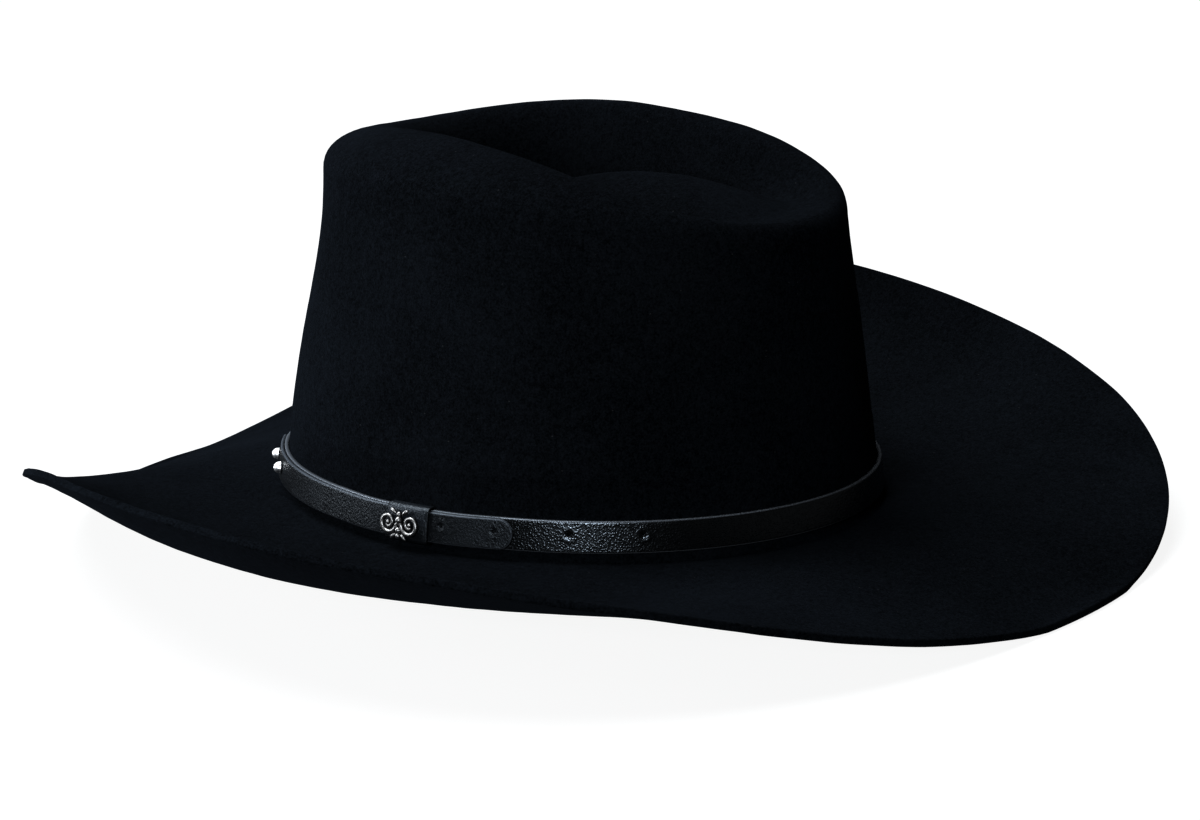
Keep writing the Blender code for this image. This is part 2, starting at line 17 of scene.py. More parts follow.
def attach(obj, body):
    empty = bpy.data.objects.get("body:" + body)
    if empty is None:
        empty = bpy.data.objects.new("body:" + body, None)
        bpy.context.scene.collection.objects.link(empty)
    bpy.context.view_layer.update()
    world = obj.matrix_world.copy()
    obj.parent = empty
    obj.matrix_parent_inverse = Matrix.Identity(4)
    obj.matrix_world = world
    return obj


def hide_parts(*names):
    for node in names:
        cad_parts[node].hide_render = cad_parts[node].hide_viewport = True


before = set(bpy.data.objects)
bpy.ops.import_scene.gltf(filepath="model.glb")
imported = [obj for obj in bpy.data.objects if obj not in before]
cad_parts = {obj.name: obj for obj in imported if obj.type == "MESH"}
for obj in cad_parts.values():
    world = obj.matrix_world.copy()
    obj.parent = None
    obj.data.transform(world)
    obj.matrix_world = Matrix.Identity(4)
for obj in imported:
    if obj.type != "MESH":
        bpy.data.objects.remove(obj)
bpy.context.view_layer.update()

# Driving dimensions, as in the CAD model
FELT = 0.0024
CROWN_X, CROWN_Y = 0.0002, 0.0027
BAND_TOP, BAND_TILT, BAND_HEIGHT = 0.0299, 0.0019, 0.0122
BASE_LENGTH, BASE_WIDTH, FOOT_RADIUS = 0.1034, 0.0864, 0.0015
SHOULDER_LENGTH, SHOULDER_WIDTH, SHOULDER_SHIFT = 0.0932, 0.0700, 0.0040
CREST_LENGTH, CREST_WIDTH, CREST_SHIFT = 0.0766, 0.0528, 0.0160
CREST_TAPER, CREST_ROUND = 0.14, 0.14
CREST_HEIGHT = (0.0970, 0.0113, -0.0055, -0.0005)
SHOULDER_DROP = (0.0115, 0.0030, -0.0025)
GROOVE_SCALE, GROOVE_HEIGHT, GROOVE_RISE = 0.76, 0.0790, 0.0010
BUMP_HEIGHT, BUMP_SHIFT = 0.0905, 0.0200
PINCH_DEPTH, PINCH_ANGLE, PINCH_SPREAD = 0.0045, math.radians(38), math.radians(20)
PINCH_PLACE, PINCH_TALL = 0.85, 0.32
EDGE_RADIUS_COS, EDGE_RADIUS_SIN = (0.1810, -0.0014, 0.0048, 0.0043), (-0.0012, 0.0024, -0.0015)
EDGE_HEIGHT_COS, EDGE_HEIGHT_SIN = (0.0007, 0.0054, -0.0255, -0.0054, -0.0035), (-0.0043, -0.0064)
CURL_SIDE, CURL_END, CURL_SHIFT = 2.85, 1.75, 0.11
TOUCH = 0.0003
STRAP_THICK, STRAP_TALL, STRAP_MIDDLE = 0.0012, 0.0094, 0.0080
BILLET_THICK, BILLET_TALL = 0.0010, 0.0090
BILLET_START, TONGUE_END = math.radians(32.5), math.radians(114)
STUD_ANGLES = {"stud_front": math.radians(37.5), "stud_rear": math.radians(48)}
STUD_RADIUS, STUD_HIGH = 0.0020, 0.0024
KEEPER_ANGLE, KEEPER_WIDE, KEEPER_THICK = math.radians(94.5), 0.0155, 0.0006
BULGE_FLAT, BULGE_FADE = math.radians(8), math.radians(10)
ORNAMENT_SHIFT, ORNAMENT_STAND, WIRE_RADIUS = -0.0015, 0.0014, 0.00065
LINING_GAP, LINING_THICK, LINING_LOW = 0.0004, 0.0004, 0.0380
SWEAT_GAP, SWEAT_THICK, SWEAT_TALL, SWEAT_DROP = 0.0013, 0.0009, 0.0560, 0.0031
REED_RADIUS, REED_RISE = 0.0009, -0.0021
TAPE_WIDE, TAPE_THICK = 0.0100, 0.0004
BOW_RISE = 0.0400
TIP_HEIGHT = 0.0700

# Fine detail
EDGE_ROUND = 0.0006  # rounding of the brim's cut edge
SWELL, SWELL_SCALE = 0.0007, 24  # slow unevenness of hand-blocked felt, and its waves per metre
RIPPLE, RIPPLE_SCALE = 0.00012, 130
CREASE_RISE, CREASE_DEEP, CREASE_WIDE = 0.0120, 0.00012, 0.0008  # faint line over the band
PLAIN_REACH = 0.025  # the felt stays plain this far from the band
LEATHER_ROUND = 0.00045
PUNCH_RADIUS = 0.00055
PUNCHED_TONGUE = (math.radians(101), math.radians(110.6))
PUNCHED_STRAP = (math.radians(123.6), math.radians(136.6))
PUNCH_RISE = 0.0007  # the holes' row over the strap's middle
PUCKER_DEEP, PUCKER_WIDE = 0.00028, 0.0009
PUCKER_RIM, PUCKER_RIM_RADIUS, PUCKER_RIM_WIDE = 0.00010, 0.0017, 0.0006
KEEPER_ROUND_IN, KEEPER_ROUND_OUT, KEEPER_SOFT, KEEPER_FULL = 0.0003, 0.0015, 0.00035, 0.00055
VOLUTE_X, VOLUTE_Y = 0.0042, 0.00035
STUD_POST, STUD_FOOT, STUD_RIM = 0.0009, -0.0022, 0.00034
STITCH_COUNT, STITCH_LONG, STITCH_THICK, STITCH_RISE = 190, 0.0019, 0.00021, 0.0026
RIBBON_THICK = 0.00035
PIPING_RADIUS = 0.0008

# Camera: seen from phi = 131 degrees, a little above the brim
VIEW_TURN, VIEW_RISE, VIEW_ROLL = math.radians(41), math.radians(14.1), math.radians(2.6)
VIEW_DISTANCE, VIEW_LENS = 0.880, 81.05
VIEW_SHIFT = (0.0195, 0.0273)
VIEW_GAMMA = 0.7  # under 1, it deepens the dark tones

# Studio. Each glow is a pair: as a light, and to look at
FLOOR_RADIUS, FLOOR_GREY, FLOOR_GLOW = 9.0, 0.08, (0.08, 0.92)
WORLD_GLOW = (0.03, 1.0)

# Lights. Turn counts as phi and rise goes up from the floor, both in degrees and seen from the hat
KEY_TURN, KEY_RISE, KEY_STRENGTH, KEY_SPREAD = 8, 65, 5.6, 45
KEY_COLOR = (0.93, 0.97, 1.0)
CARD_AIM = (0, 0, 0.05)
# Name, turn, rise, distance, width and height, power and colour
CARDS = (
    ("side_light", 36, 14, 1.4, (0.7, 0.4), 13.0, (0.92, 0.96, 1.0)),
    ("low_light", 54, 2, 1.3, (0.8, 0.06), 12.0, (0.92, 0.96, 1.0)),
    ("band_light", 114, 15, 1.2, (0.36, 0.20), 10.0, (0.90, 0.95, 1.0)),
)


def cosines(terms, phi):
    """Sum of terms times the cosines of 0, 1, 2 and more times phi."""
    return sum(term * np.cos(k * phi) for k, term in enumerate(terms))


def sines(terms, phi):
    """Sum of terms times the sines of 1, 2 and more times phi."""
    return sum(term * np.sin((k + 1) * phi) for k, term in enumerate(terms))


def smooth(t):
    """Eases from 0 to 1."""
    return t * t * (3 - 2 * t)


def angles(count):
    """Evenly spaced angles round a full turn."""
    return np.arange(count) * 2 * math.pi / count


# The hat's surfaces, as functions of phi


def oval(phi, length, width, shift=0.0):
    """Place on an oval round the crown's middle, given by its half length and half width."""
    return CROWN_X + width * np.sin(phi), CROWN_Y + shift - length * np.cos(phi)


def band_top(phi):
    return BAND_TOP + BAND_TILT * np.cos(phi)


def foot_height(phi):
    return band_top(phi) - BAND_HEIGHT


def crest_height(phi):
    """Height of the crown's top edge."""
    return BAND_TOP + cosines(CREST_HEIGHT, phi)


def wall_point(phi, v, inset=0.0):
    """Crown's wall, v = 0 at its foot and 1 at the shoulder, moved in by inset."""
    foot_x, foot_y = oval(phi, BASE_LENGTH - inset, BASE_WIDTH - inset)
    top_x, top_y = oval(phi, SHOULDER_LENGTH - inset, SHOULDER_WIDTH - inset, SHOULDER_SHIFT)
    x, y = foot_x + (top_x - foot_x) * v, foot_y + (top_y - foot_y) * v
    low = foot_height(phi) + FOOT_RADIUS
    high = crest_height(phi) - cosines(SHOULDER_DROP, phi)
    side = np.abs((phi + math.pi) % (2 * math.pi) - math.pi)
    pinch = np.exp(-(((side - PINCH_ANGLE) / PINCH_SPREAD) ** 2) - ((v - PINCH_PLACE) / PINCH_TALL) ** 2)
    pull = PINCH_DEPTH * pinch * smooth(np.clip(v / 0.25, 0, 1))
    return np.stack([x - pull * np.sin(phi), y + pull * np.cos(phi), low + (high - low) * v], -1)


def wall_at(phi, rise, inset=0.0):
    """Crown's wall at a rise, moved in by inset."""
    high = crest_height(phi) - cosines(SHOULDER_DROP, phi) - foot_height(phi)
    return wall_point(phi, (rise - FOOT_RADIUS) / (high - FOOT_RADIUS), inset)


def foot_point(phi, turn):
    """Small round from the brim, turn = 0, up into the crown's wall, turn = 1."""
    angle = turn * math.pi / 2
    out = FOOT_RADIUS * (1 - math.sin(angle))
    x, y = oval(phi, BASE_LENGTH + out, BASE_WIDTH + out)
    return np.stack([x, y, foot_height(phi) + FOOT_RADIUS * (1 - math.cos(angle))], -1)


def brim_point(phi, t):
    """Brim's upper side, t = 0 at the crown's foot and 1 at the edge."""
    start = foot_point(phi, 0.0)
    radius = cosines(EDGE_RADIUS_COS, phi) + sines(EDGE_RADIUS_SIN, phi)
    rise = cosines(EDGE_HEIGHT_COS, phi) + sines(EDGE_HEIGHT_SIN, phi)
    edge_x, edge_y = CROWN_X + radius * np.sin(phi), CROWN_Y - radius * np.cos(phi)
    curl = (CURL_SIDE + CURL_END) / 2 - (CURL_SIDE - CURL_END) / 2 * np.cos(2 * phi)
    curl += CURL_SHIFT * np.sin(phi)
    x = start[:, 0] + (edge_x - start[:, 0]) * t
    y = start[:, 1] + (edge_y - start[:, 1]) * t
    z = start[:, 2] + (BAND_TOP + rise - start[:, 2]) * t**curl
    return np.stack([x, y, np.maximum(z, FELT)], -1)


def crest_point(phi):
    """Crown's top edge, round the dent."""
    side = np.sin(phi) * (1 - CREST_TAPER * np.cos(phi) + CREST_ROUND * np.cos(2 * phi))
    y = CROWN_Y + CREST_SHIFT - CREST_LENGTH * np.cos(phi)
    return np.stack([CROWN_X + CREST_WIDTH * side, y, crest_height(phi)], -1)


def shoulder_point(phi, turn):
    """Round over from the wall, turn = 0, to the crest, turn = 1."""
    angle = turn * math.pi / 2
    start, end = wall_point(phi, 1.0), crest_point(phi)
    across, up = 1 - math.cos(angle), math.sin(angle)
    return start + (end - start) * np.array([across, across, up])


def dent_point(phi, q):
    """Teardrop dent, q = 0 at the crest and 1 at the middle of its bump."""
    scale = 1 - q
    end = crest_point(phi)
    x = CROWN_X + (end[:, 0] - CROWN_X) * scale
    middle = CROWN_Y + CREST_SHIFT
    y = middle + BUMP_SHIFT * q + (end[:, 1] - middle) * scale
    groove = BAND_TOP + GROOVE_HEIGHT - GROOVE_RISE * np.cos(phi)
    if scale > GROOVE_SCALE:
        z = end[:, 2] - (end[:, 2] - groove) * smooth((1 - scale) / (1 - GROOVE_SCALE))
    else:
        z = groove + (BAND_TOP + BUMP_HEIGHT - groove) * (1 - (scale / GROOVE_SCALE) ** 2) ** 1.5
    return np.stack([x, y, z], -1)


def strap_offset(phi):
    """Gap under the strap, which is wider where the keeper passes between it and the felt."""
    away = np.abs(phi - KEEPER_ANGLE)
    bulge = smooth(np.clip((BULGE_FLAT + BULGE_FADE - away) / BULGE_FADE, 0, 1))
    return TOUCH + (KEEPER_THICK + TOUCH) * bulge


def band_point(phi, rise, out):
    """Point on the hatband: out is measured from the strap's inner face."""
    offset = strap_offset(phi) + out
    foot_x, foot_y = oval(phi, BASE_LENGTH + offset, BASE_WIDTH + offset)
    plain_x, plain_y = oval(phi, BASE_LENGTH, BASE_WIDTH)
    return wall_at(phi, rise) + np.stack([foot_x - plain_x, foot_y - plain_y, 0 * plain_x], -1)


def arc_length(phi):
    """Metres of hatband for each radian of phi."""
    return np.hypot(BASE_WIDTH * np.cos(phi), BASE_LENGTH * np.sin(phi))


def band_frame(phi, rise, out):
    """Matrix to a place on the hatband, with x along the band, y up the wall and z outwards."""
    step = 1e-4
    here, ahead = (band_point(np.array([phi + k]), rise, out)[0] for k in (0, step))
    above = band_point(np.array([phi]), rise + step, out)[0]
    along = Vector(ahead - here).normalized()
    outwards = along.cross(Vector(above - here)).normalized()
    if outwards.dot(Vector((math.sin(phi), -math.cos(phi), 0))) < 0:
        outwards = -outwards
    turn = Matrix((along, outwards.cross(along), outwards)).transposed().to_4x4()
    return Matrix.Translation(here) @ turn


# Mesh tools


def unit(vectors):
    """Vectors at length 1."""
    return vectors / np.linalg.norm(vectors, axis=-1, keepdims=True)


def lattice(rows, wrap_rows=False, wrap_columns=True, close_first=False, close_last=False):
    """Points and faces over rows of points, with a fan over the first or last row if it is closed."""
    grid = np.array(rows)
    count_rows, count = grid.shape[:2]
    points = [tuple(p) for p in grid.reshape(-1, 3)]
    faces = []
    for i in range(count_rows if wrap_rows else count_rows - 1):
        for j in range(count if wrap_columns else count - 1):
            a, b = i * count + j, i * count + (j + 1) % count
            c, d = (i + 1) % count_rows * count + (j + 1) % count, (i + 1) % count_rows * count + j
            faces.append((a, b, c, d))
    for close, row, turn in ((close_first, 0, -1), (close_last, count_rows - 1, 1)):
        if close:
            points.append(tuple(grid[row].mean(axis=0)))
            for j in range(count):
                pair = (row * count + j, row * count + (j + 1) % count)[::turn]
                faces.append((*pair, len(points) - 1))
    return points, faces


def joined(parts):
    """Points and faces of several meshes as one."""
    points, faces = [], []
    for more_points, more_faces in parts:
        start = len(points)
        points += more_points
        faces += [tuple(start + corner for corner in face) for face in more_faces]
    return points, faces


def moved(part, matrix):
    """Part carried to another place."""
    return [tuple(matrix @ Vector(p)) for p in part[0]], part[1]


def faces_out(mesh):
    """Turns every face of a mesh outwards."""
    shape = bmesh.new()
    shape.from_mesh(mesh)
    bmesh.ops.recalc_face_normals(shape, faces=shape.faces)
    shape.to_mesh(mesh)
    shape.free()


def piece(name, part, look, body, replaced=(), facts=None):
    """Shown object made of points and faces, riding on a body, with per-point facts for its material."""
    mesh = bpy.data.meshes.new(name)
    mesh.from_pydata(part[0], [], part[1])
    for fact, values in (facts or {}).items():
        layer = mesh.attributes.new(fact, "FLOAT", "POINT")
        padded = np.append(values, np.full(len(part[0]) - len(values), values[-1]))
        layer.data.foreach_set("value", padded.astype(np.float32))
    faces_out(mesh)
    mesh.shade_smooth()
    mesh.materials.append(look.material)
    made = bpy.data.objects.new(name, mesh)
    bpy.context.scene.collection.objects.link(made)
    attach(made, body)
    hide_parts(*replaced)
    return made


def tube(path, radii, sides):
    """Round bar along a path in the plane z = 0."""
    path = np.array(path)
    along = unit(np.gradient(path, axis=0))
    across = np.stack([-along[:, 1], along[:, 0]], -1)
    turn = angles(sides)
    rows = []
    for place, side, radius in zip(path, across, radii):
        flat = place + side * radius * np.cos(turn)[:, None]
        rows.append(np.column_stack([flat, radius * np.sin(turn)]))
    return lattice(rows, close_first=True, close_last=True)


def ball(x, y, radius):
    """Ball with its middle in the plane z = 0."""
    turn = angles(20)
    rows = []
    for lift in np.linspace(-math.pi / 2, math.pi / 2, 11)[1:-1]:
        ring = radius * math.cos(lift)
        height = np.full(len(turn), radius * math.sin(lift))
        rows.append(np.column_stack([x + ring * np.cos(turn), y + ring * np.sin(turn), height]))
    return lattice(rows, close_first=True, close_last=True)


def cut(made, name, matrix, radius, length):
    """Cuts a round hole through an object, along the matrix's z."""
    turn = angles(24)
    rows = []
    for height in (-length / 2, length / 2):
        rows.append(np.stack([radius * np.cos(turn), radius * np.sin(turn), np.full(24, height)], -1))
    points, faces = lattice(rows, close_first=True, close_last=True)
    mesh = bpy.data.meshes.new(name)
    mesh.from_pydata(points, [], faces)
    faces_out(mesh)
    cutter = bpy.data.objects.new(name, mesh)
    cutter.matrix_world = matrix
    bpy.context.scene.collection.objects.link(cutter)
    hole = made.modifiers.new(name, "BOOLEAN")
    hole.operation = "DIFFERENCE"
    hole.object = cutter
    bpy.context.view_layer.update()
    graph = bpy.context.evaluated_depsgraph_get()
    result = bpy.data.meshes.new_from_object(made.evaluated_get(graph))
    made.modifiers.remove(hole)
    made.data = result
    bpy.data.objects.remove(cutter)


# Materials


class Look:
    """A material under construction: its Principled shader and the nodes that feed it."""

    def __init__(self, slot, **values):
        self.slot = slot
        self.material = bpy.data.materials.new(f"{slot}_fine")
        self.material.use_nodes = True
        self.tree = self.material.node_tree
        self.shader = self.tree.nodes["Principled BSDF"]
        for name, value in values.items():
            self.feed(self.shader.inputs[name.replace("_", " ")], value)
        self.place = self.add("ShaderNodeTexCoord").outputs["Object"]
        self.height = None

    def feed(self, socket, value):
        """Links another node's output to a socket, or sets the socket's own value."""
        if isinstance(value, bpy.types.NodeSocket):
            self.tree.links.new(value, socket)
        else:
            socket.default_value = value

    def add(self, kind, inputs=None, **settings):
        node = self.tree.nodes.new(kind)
        for name, value in settings.items():
            setattr(node, name, value)
        for key, value in (inputs or {}).items():
            self.feed(node.inputs[key], value)
        return node

    def math(self, operation, *values):
        return self.add("ShaderNodeMath", dict(enumerate(values)), operation=operation).outputs[0]

    def stretched(self, scale):
        return self.add("ShaderNodeMapping", {"Vector": self.place, "Scale": scale}).outputs[0]

    def noise(self, scale, detail=3.0, roughness=0.5, vector=None):
        inputs = {"Vector": vector or self.place, "Scale": scale}
        inputs |= {"Detail": detail, "Roughness": roughness}
        return self.add("ShaderNodeTexNoise", inputs).outputs["Fac"]

    def cells(self, scale, feature="F1", vector=None):
        inputs = {"Vector": vector or self.place, "Scale": scale}
        return self.add("ShaderNodeTexVoronoi", inputs, feature=feature)

    def ranged(self, value, low, high, to_low, to_high):
        """Value carried from the range low to high over to another range."""
        inputs = {0: value, 1: low, 2: high, 3: to_low, 4: to_high}
        return self.add("ShaderNodeMapRange", inputs).outputs[0]

    def fact(self, name):
        """Number that the mesh carries at each of its points."""
        return self.add("ShaderNodeAttribute", attribute_name=name).outputs["Fac"]

    def mixed(self, share, first, second):
        """Colour between the first, share = 0, and the second, share = 1."""
        inputs = {0: share, 6: first, 7: second}
        return self.add("ShaderNodeMix", inputs, data_type="RGBA").outputs[2]

    def color(self, value):
        self.feed(self.shader.inputs["Base Color"], value)

    def roughness(self, value):
        self.feed(self.shader.inputs["Roughness"], value)

    def bump(self, height, distance, strength=1.0):
        """Adds relief of this height in metres over what is there."""
        inputs = {"Height": height, "Distance": distance, "Strength": strength}
        if self.height:
            inputs["Normal"] = self.height
        self.height = self.add("ShaderNodeBump", inputs).outputs[0]
        self.feed(self.shader.inputs["Normal"], self.height)


def grey(value, blue=1.0):
    """Grey as a colour, with its blue part times blue."""
    return (value, value * (1 + (blue - 1) * 0.4), value * blue, 1.0)


def felt_look():
    look = Look("felt", Specular_IOR_Level=0.015, Sheen_Weight=0.010, Sheen_Roughness=0.5)
    look.shader.inputs["Sheen Tint"].default_value = (0.55, 0.72, 1.0, 1.0)
    nap = look.noise(1500, 3.0, 0.7)
    tufts = look.noise(520, 3.0, 0.65)
    patches = look.noise(26, 4.0)
    share = look.math("ADD", look.math("MULTIPLY", nap, 0.60), look.math("MULTIPLY", tufts, 0.30))
    share = look.math("ADD", share, look.math("MULTIPLY", patches, 0.22))
    share = look.ranged(share, 0.44, 0.68, 0.0, 1.0)
    plain = look.mixed(share, grey(0.0009, 2.2), grey(0.0084, 1.7))
    flecks = look.cells(300, vector=look.stretched((1.0, 0.8, 1.3)))
    near = look.ranged(flecks.outputs["Distance"], 0.03, 0.09, 1.0, 0.0)
    picked = look.add("ShaderNodeSeparateColor", {0: flecks.outputs["Color"]}).outputs[0]
    lint = look.math("MULTIPLY", near, look.math("GREATER_THAN", picked, 0.88))
    look.color(look.mixed(lint, plain, grey(0.030, 1.1)))
    look.roughness(look.ranged(nap, 0.3, 0.7, 0.85, 1.0))
    look.bump(tufts, 0.00020, 0.6)
    look.bump(nap, 0.00012, 0.7)
    return look


def grained_leather_look():
    look = Look("grained_leather", Specular_IOR_Level=0.65, Specular_Tint=(0.82, 0.91, 1.0, 1.0))
    pebbles = look.cells(1450, "SMOOTH_F1")
    pebbles.inputs["Smoothness"].default_value = 0.25
    inset = look.fact("inset")
    # Painted shade: the colour is darker in the creases between the pebbles, lighter on their tops.
    domes = look.ranged(pebbles.outputs["Distance"], 0.0, 0.62, 1.0, 0.0)
    plain = look.mixed(domes, grey(0.0006), grey(0.0030, 1.3))
    # Painted highlight: a thin band along the cut edges is much lighter, partly the cut edge's own
    # lighter tone and partly painted highlight.
    edge = look.ranged(inset, 0.00005, 0.00045, 1.0, 0.0)
    look.color(look.mixed(edge, plain, grey(0.140, 1.2)))
    look.roughness(look.ranged(look.noise(700), 0.3, 0.7, 0.22, 0.28))
    look.bump(look.noise(240, 3.0), 0.00003, 0.3)
    look.bump(look.math("MULTIPLY", domes, look.ranged(inset, 0.0, 0.0006, 0.0, 1.0)), 0.00006, 0.9)
    look.bump(look.noise(3200, 2.0), 0.00003, 0.6)
    return look


def smooth_leather_look():
    look = Look("smooth_leather", Specular_IOR_Level=0.40, Specular_Tint=(0.82, 0.91, 1.0, 1.0))
    grain = look.noise(1300, 3.0, 0.6)
    clouds = look.noise(160, 3.0)
    inset = look.fact("inset")
    # Painted highlight: a thin band along the cut edge is much lighter than the face, partly the cut
    # edge's own lighter tone and partly painted highlight.
    edge = look.ranged(inset, 0.0001, 0.0005, 1.0, 0.0)
    plain = look.mixed(clouds, grey(0.0024, 1.6), grey(0.0070, 1.6))
    # Painted highlight: where the mesh's pale fact is high, towards the top of the keeper's face, the
    # colour is lighter.
    plain = look.mixed(look.fact("pale"), plain, grey(0.012, 1.6))
    look.color(look.mixed(edge, plain, grey(0.070, 1.3)))
    look.roughness(look.ranged(clouds, 0.3, 0.7, 0.34, 0.44))
    look.bump(look.noise(420, 3.0), 0.00010, 0.35)
    look.bump(grain, 0.00024, 1.0)
    return look


def silver_look():
    look = Look("antique_silver", Metallic=1.0)
    # Painted shade: the silver is darker where its parts sit low, near the keeper's face, as shade in the
    # hollows, with some random mottle.
    depth = look.fact("depth")
    hollow_shade_and_mottle = look.math("ADD", depth, look.ranged(look.noise(1800, 3.0), 0.3, 0.7, -0.15, 0.15))
    share = look.ranged(hollow_shade_and_mottle, 0.15, 0.75, 0.0, 1.0)
    look.color(look.mixed(share, (0.055, 0.055, 0.058, 1.0), (0.34, 0.335, 0.33, 1.0)))
    look.roughness(look.ranged(share, 0.0, 1.0, 0.60, 0.42))
    look.bump(look.noise(3200, 3.0, 0.6), 0.00004, 0.6)
    return look


def nickel_look():
    look = Look("bright_nickel", Metallic=1.0)
    marks = look.noise(1500, 3.0, 0.6, look.stretched((1.0, 1.0, 0.25)))
    look.color(look.mixed(marks, (0.80, 0.80, 0.81, 1.0), (0.92, 0.92, 0.91, 1.0)))
    look.roughness(look.ranged(marks, 0.3, 0.7, 0.40, 0.52))
    look.bump(marks, 0.00001, 0.4)
    return look


def sweat_leather_look():
    look = Look("sweatband_leather", Specular_IOR_Level=0.45)
    pores = look.cells(1300, vector=look.stretched((1.0, 1.0, 0.8)))
    clouds = look.noise(60, 4.0)
    look.color(look.mixed(clouds, (0.012, 0.0095, 0.0085, 1.0), (0.026, 0.021, 0.018, 1.0)))
    look.roughness(look.ranged(clouds, 0.3, 0.7, 0.46, 0.60))
    look.bump(look.noise(90, 3.0), 0.0004, 0.35)
    look.bump(pores.outputs["Distance"], 0.00010, 0.5)
    return look


def satin_look():
    look = Look("satin", Specular_IOR_Level=0.5, Sheen_Weight=0.35, Sheen_Roughness=0.35)
    threads = look.noise(2300, 2.0, 0.5, look.stretched((1.0, 1.0, 0.06)))
    clouds = look.noise(45, 2.0)
    look.color(look.mixed(clouds, grey(0.070, 1.12), grey(0.115, 1.12)))
    look.roughness(look.ranged(threads, 0.3, 0.7, 0.30, 0.42))
    look.bump(clouds, 0.0008, 0.3)
    look.bump(threads, 0.00005, 0.6)
    return look


def ribbon_look():
    look = Look("ribbon", Specular_IOR_Level=0.4, Sheen_Weight=0.2, Sheen_Roughness=0.4)
    along = look.fact("along")
    ribs = look.math("SINE", look.math("MULTIPLY", along, 2 * math.pi / 0.0006))
    wefts = look.noise(3000, 2.0)
    look.color(look.mixed(wefts, grey(0.006, 1.1), grey(0.016, 1.1)))
    look.roughness(look.ranged(wefts, 0.3, 0.7, 0.42, 0.60))
    look.bump(look.ranged(ribs, -1.0, 1.0, 0.0, 1.0), 0.00010, 0.8)
    return look


def reed_look():
    look = Look("reed", Specular_IOR_Level=0.35)
    weave = look.noise(2400, 2.0)
    look.color(look.mixed(weave, grey(0.010), grey(0.022)))
    look.roughness(look.ranged(weave, 0.3, 0.7, 0.5, 0.7))
    look.bump(weave, 0.00008, 0.6)
    return look


# Felt body


def surface_normals(grid):
    """Outward directions of a grid of points round the hat."""
    around = np.roll(grid, -1, axis=1) - np.roll(grid, 1, axis=1)
    return unit(np.cross(around, np.gradient(grid, axis=0)))


def relief(grid, phi):
    """How far the felt stands out from its plain form. It stays plain beside the band."""
    rise = grid[:, :, 2] - band_top(phi)
    flat_x, flat_y = oval(phi, BASE_LENGTH, BASE_WIDTH)
    reach = np.hypot(grid[:, :, 0] - CROWN_X, grid[:, :, 1] - CROWN_Y)
    beyond = reach - np.hypot(flat_x - CROWN_X, flat_y - CROWN_Y)
    away = np.hypot(np.maximum(rise, 0), np.maximum(beyond, 0))
    push = np.empty(grid.shape[:2])
    for i, j in np.ndindex(*push.shape):
        place = Vector(grid[i, j])
        push[i, j] = SWELL * noise.noise(place * SWELL_SCALE) + RIPPLE * noise.noise(place * RIPPLE_SCALE)
    push *= smooth(np.clip(away / PLAIN_REACH, 0, 1))
    on_wall = (beyond < 0) & (rise < 0.03)
    crease = CREASE_DEEP * np.exp(-(((rise - CREASE_RISE) / CREASE_WIDE) ** 2))
    return push + np.where(on_wall, crease, 0)


def edge_rows(top, under, inner):
    """Rounded cut edge from the underside's first row up to the upper side's."""
    normal, out = unit(top - under), unit(top - inner)
    low_centre = under + (normal - out) * EDGE_ROUND
    high_centre = top - (normal + out) * EDGE_ROUND
    rows = []
    for centre, start in ((low_centre, -90), (high_centre, 0)):
        for degrees in range(start, start + 91, 18):
            angle = math.radians(degrees)
            rows.append(centre + EDGE_ROUND * (out * math.cos(angle) + normal * math.sin(angle)))
    return rows


def felt_shell(look):
    """Crown and brim as one skin: the upper side from the brim's edge to the dent, and the underside."""
    phi = angles(360)
    rows = [brim_point(phi, t) for t in np.linspace(1, 0, 56, endpoint=False)]
    rows += [foot_point(phi, turn) for turn in np.linspace(0, 1, 5, endpoint=False)]
    rows += [wall_at(phi, rise) for rise in np.linspace(FOOT_RADIUS, BAND_HEIGHT + 0.010, 12)]
    rows += [wall_at(phi, BAND_HEIGHT + CREASE_RISE + k * 0.0004) for k in range(-4, 5)]
    first = rows[-1][:, 2] + 0.0016
    low = foot_height(phi) + FOOT_RADIUS
    high = crest_height(phi) - cosines(SHOULDER_DROP, phi)
    for share in np.linspace(0, 1, 44):
        v = ((first - low) / (high - low)) * (1 - share) + share
        rows.append(wall_point(phi, v))
    rows += [shoulder_point(phi, turn) for turn in np.linspace(0, 1, 14)[1:]]
    rows += [dent_point(phi, q) for q in np.linspace(0, 1, 46, endpoint=False)[1:]]
    grid = np.array(rows)
    normal = surface_normals(grid)
    grid += normal * relief(grid, phi)[:, :, None]
    grid[:, :, 2] = np.maximum(grid[:, :, 2], FELT)
    under = grid - surface_normals(grid) * FELT
    flat = grid[:, :, 2] <= FELT + 1e-7
    under[:, :, 2] = np.where(flat, 0.0, np.maximum(under[:, :, 2], 0.0))
    edge = edge_rows(grid[0], under[0], grid[1])
    rows = list(under[:0:-3]) + edge + list(grid[1:])
    part = lattice(rows, close_first=True, close_last=True)
    return piece("felt_shell", part, look, "hat", ["felt_body"])


# Hatband


def pucker(phi, rise, places):
    """Dimple with a raised rim round each punched hole of the hatband, as a height."""
    push = 0.0
    for place in places:
        away = np.hypot((phi - place) * arc_length(place), rise - PUNCH_RISE)
        push = push - PUCKER_DEEP * np.exp(-((away / PUCKER_WIDE) ** 2))
        push = push + PUCKER_RIM * np.exp(-(((away - PUCKER_RIM_RADIUS) / PUCKER_RIM_WIDE) ** 2))
    return push


def rounding(inset, radius=LEATHER_ROUND):
    """How far a face lies under its full height at this distance from its edge."""
    near = np.clip(1 - inset / radius, 0, 1)
    return radius * (1 - np.sqrt(1 - near**2))


